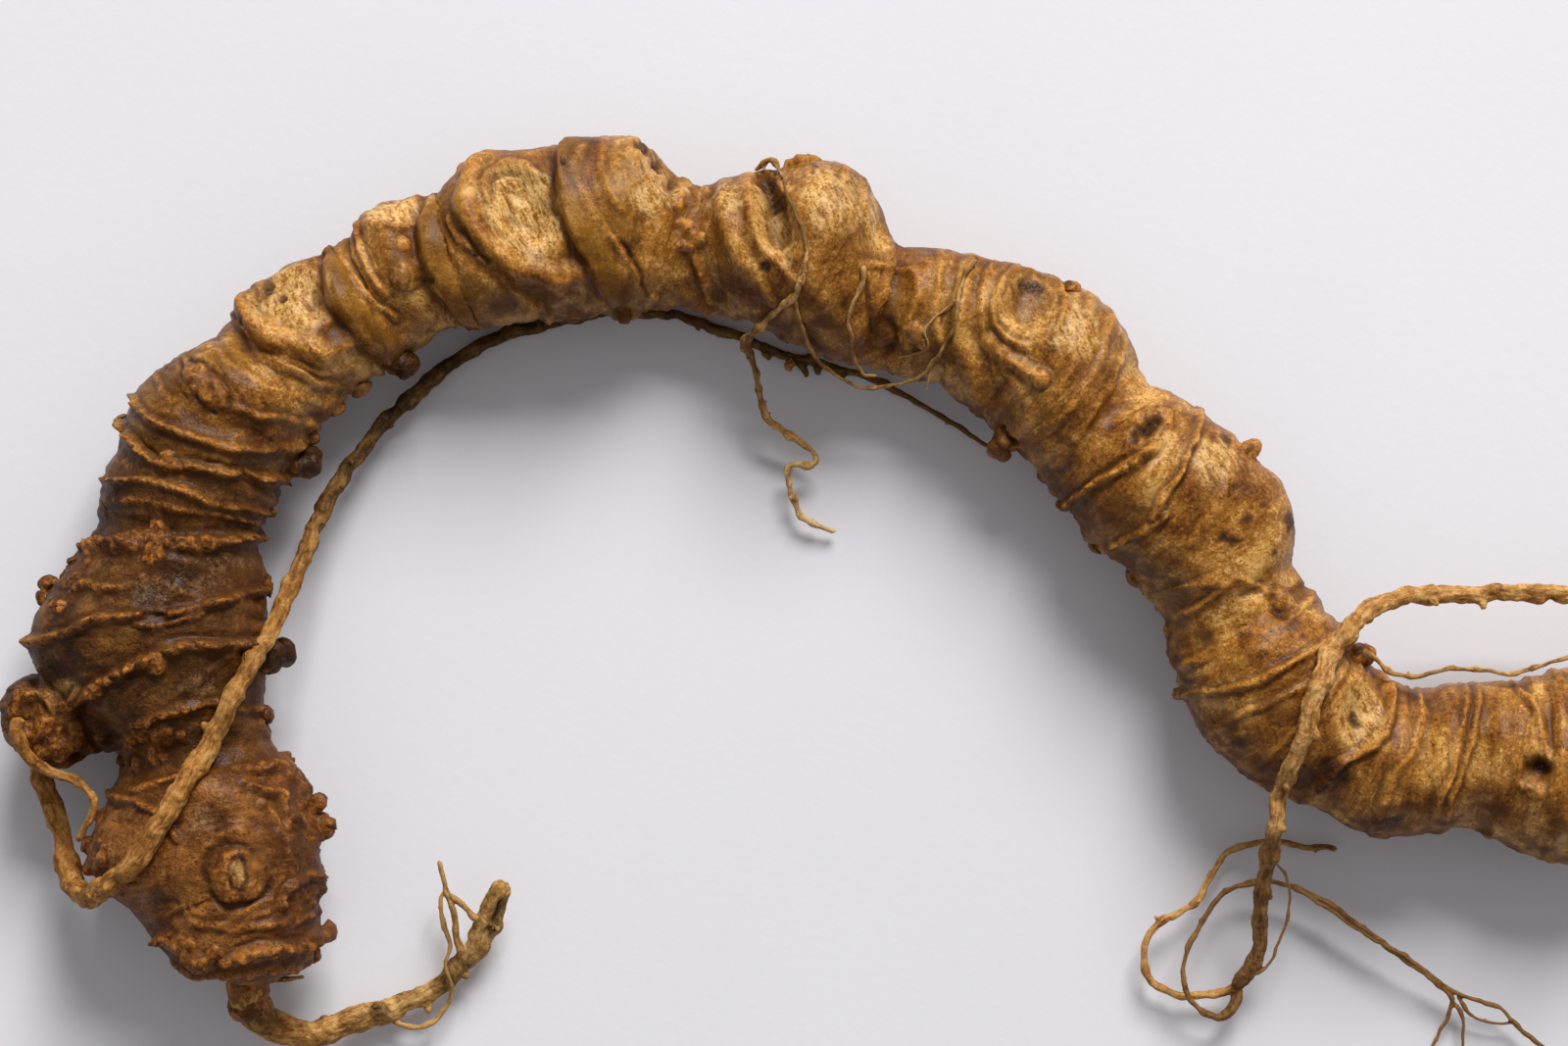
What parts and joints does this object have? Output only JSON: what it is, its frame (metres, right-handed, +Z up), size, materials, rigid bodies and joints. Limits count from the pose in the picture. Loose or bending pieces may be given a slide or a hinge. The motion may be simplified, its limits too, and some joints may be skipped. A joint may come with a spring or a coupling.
{
  "type": "ginseng root",
  "caption": "Dried ginseng rhizome bent into an arch, ringed and knobbly, with stem scars and thin roots lying over and around it.",
  "frame": {"origin": "middle of the footprint, on the surface that the root lies on", "axes": "+X from the old end of the rhizome to its young end, +Y across the arch towards its top, +Z up"},
  "size_m": [0.1896, 0.0954, 0.0201],
  "materials": {
    "bark": "waxy golden-brown skin, wrinkled and ringed",
    "brown_root": "dull brown skin with fine lengthwise wrinkles",
    "tan_root": "dull tan skin with fine lengthwise wrinkles"
  },
  "bodies": {
    "root": {"rhizome": "bark", "long_root": "brown_root", "knob_rootlet": "brown_root", "tail_root": "brown_root", "draped_rootlet": "tan_root", "garland_rootlet": "tan_root", "short_rootlet": "tan_root", "side_root": "tan_root", "edge_rootlet": "tan_root"}
  },
  "joints": []
}
